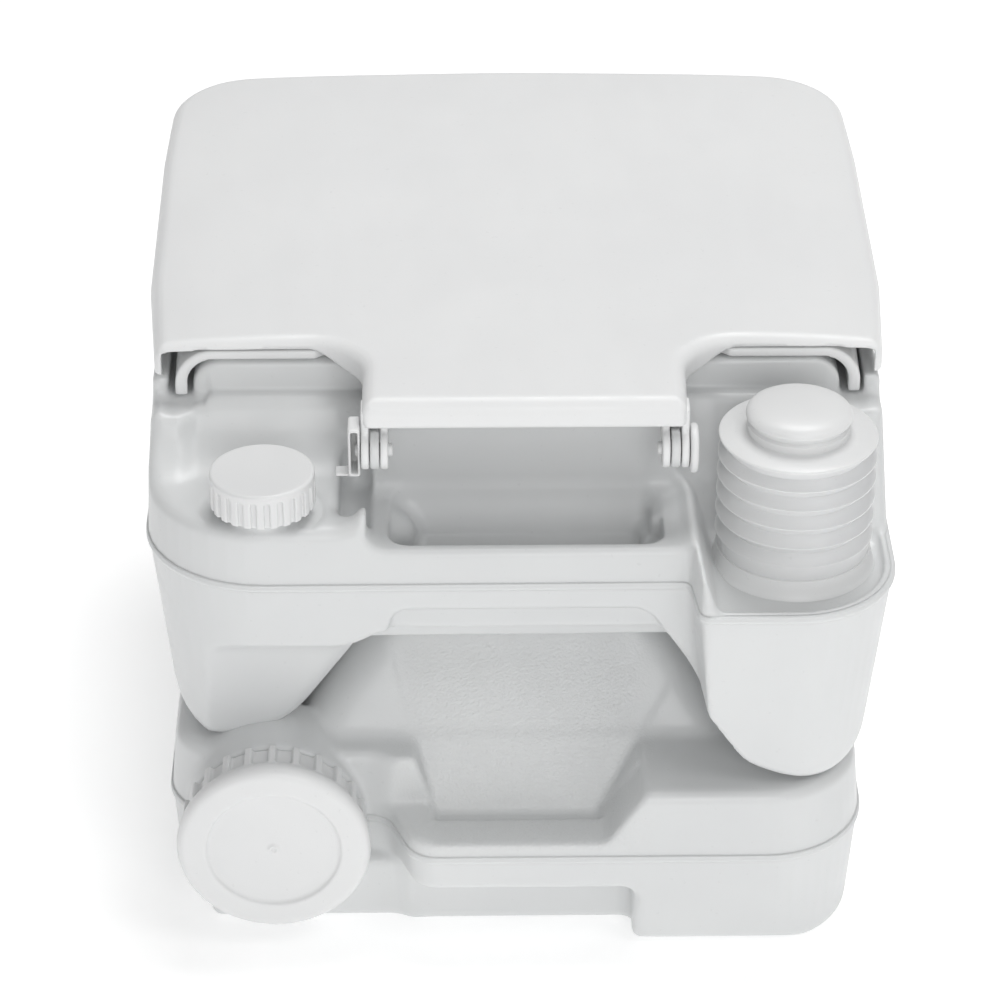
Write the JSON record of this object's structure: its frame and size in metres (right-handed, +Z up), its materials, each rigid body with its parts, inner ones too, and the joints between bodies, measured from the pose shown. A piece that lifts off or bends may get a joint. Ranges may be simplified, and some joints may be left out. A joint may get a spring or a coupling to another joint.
{
  "type": "portable camp toilet",
  "caption": "Portable camp toilet with a latched fresh water tank over a waste tank, sliding gate, bellows pump, screw caps, seat and lid.",
  "frame": {"origin": "middle of the footprint on the ground", "axes": "+X to the right seen from behind, +Y to the front, where the user sits, +Z up"},
  "size_m": [0.3576, 0.4181, 0.277],
  "materials": {
    "tank_shell": "blow-moulded polyethylene, fine soft grain, light grey-white",
    "lid_plastic": "injection-moulded, satin with a very fine grain",
    "cap_plastic": "satin moulded plastic",
    "valve_plastic": "satin moulded plastic",
    "handle_plastic": "satin moulded plastic",
    "bowl_plastic": "smooth glossy moulding",
    "pump_plastic": "satin moulded plastic",
    "bellows_plastic": "soft translucent-looking polyethylene",
    "tube_plastic": "smooth extruded plastic",
    "latch_plastic": "satin moulded plastic",
    "pin_plastic": "satin moulded plastic",
    "seal_rubber": "soft black-grey rubber",
    "screw_steel": "plain steel"
  },
  "bodies": {
    "tanks": {"waste_tank": "tank_shell", "valve_base": "valve_plastic", "gate_seal": "seal_rubber", "valve_cover": "valve_plastic", "valve_screws": "screw_steel", "fresh_tank": "tank_shell", "bowl_liner": "bowl_plastic", "bowl_seal": "seal_rubber", "pump_base": "pump_plastic", "pump_bellows": "bellows_plastic", "pickup_tube": "tube_plastic", "foot_valve": "seal_rubber", "flush_tube": "tube_plastic", "flush_nozzle": "tube_plastic", "latch_pin_left": "screw_steel", "latch_pin_right": "screw_steel", "hinge_pin_left": "pin_plastic", "hinge_pin_right": "pin_plastic"},
    "gate": {"gate_blade": "cap_plastic", "gate_handle": "handle_plastic", "handle_screws": "screw_steel"},
    "seat": {"seat": "lid_plastic", "seat_bumpers": "seal_rubber"},
    "lid": {"lid": "lid_plastic"},
    "pump_head": {"pump_plate": "pump_plastic", "pump_knob": "pump_plastic"},
    "fill_gasket": {"fill_cap_gasket": "seal_rubber"},
    "fill_cap": {"fill_cap": "cap_plastic"},
    "waste_gasket": {"waste_cap_gasket": "seal_rubber"},
    "waste_cap": {"waste_cap": "cap_plastic"},
    "latch_left": {"latch_left": "latch_plastic"},
    "latch_right": {"latch_right": "latch_plastic"}
  },
  "joints": [
    {"name": "seat_hinge", "type": "hinge", "parent": "tanks", "child": "seat", "pos_m": [0.002, -0.153, 0.25], "axis": [1, 0, 0], "range_deg": [0, 95]},
    {"name": "lid_hinge", "type": "hinge", "parent": "seat", "child": "lid", "pos_m": [0.002, -0.153, 0.25], "axis": [1, 0, 0], "range_deg": [0, 100]},
    {"name": "gate_slide", "type": "slide", "parent": "tanks", "child": "gate", "axis": [0, 1, 0], "range_m": [0, 0.104]},
    {"name": "pump_press", "type": "slide", "parent": "tanks", "child": "pump_head", "axis": [0, 0, -1], "range_m": [0, 0.034], "stiffness_N_per_m": 400, "springref_m": -0.006, "deforming": ["pump_bellows"]},
    {"name": "fill_cap_lift", "type": "slide", "parent": "tanks", "child": "fill_gasket", "axis": [0, 0, 1], "range_m": [0, 0.0061]},
    {"name": "fill_cap_turn", "type": "hinge", "parent": "fill_gasket", "child": "fill_cap", "pos_m": [-0.1185, -0.159, 0.235], "axis": [0, 0, 1], "range_deg": [0, 540]},
    {"name": "waste_cap_lift", "type": "slide", "parent": "tanks", "child": "waste_gasket", "axis": [0, -1, 0], "range_m": [0, 0.0091]},
    {"name": "waste_cap_turn", "type": "hinge", "parent": "waste_gasket", "child": "waste_cap", "pos_m": [-0.117, -0.195, 0.061], "axis": [0, -1, 0], "range_deg": [0, 540]},
    {"name": "latch_left_swing", "type": "hinge", "parent": "tanks", "child": "latch_left", "pos_m": [-0.1665, 0.01, 0.075], "axis": [0, -1, 0], "range_deg": [0, 95]},
    {"name": "latch_right_swing", "type": "hinge", "parent": "tanks", "child": "latch_right", "pos_m": [0.1665, 0.01, 0.075], "axis": [0, 1, 0], "range_deg": [0, 95]}
  ],
  "couplings": [
    {"joint": "fill_cap_lift", "follows": "fill_cap_turn", "m_per_rad": 0.0006366},
    {"joint": "waste_cap_lift", "follows": "waste_cap_turn", "m_per_rad": 0.0009549}
  ]
}
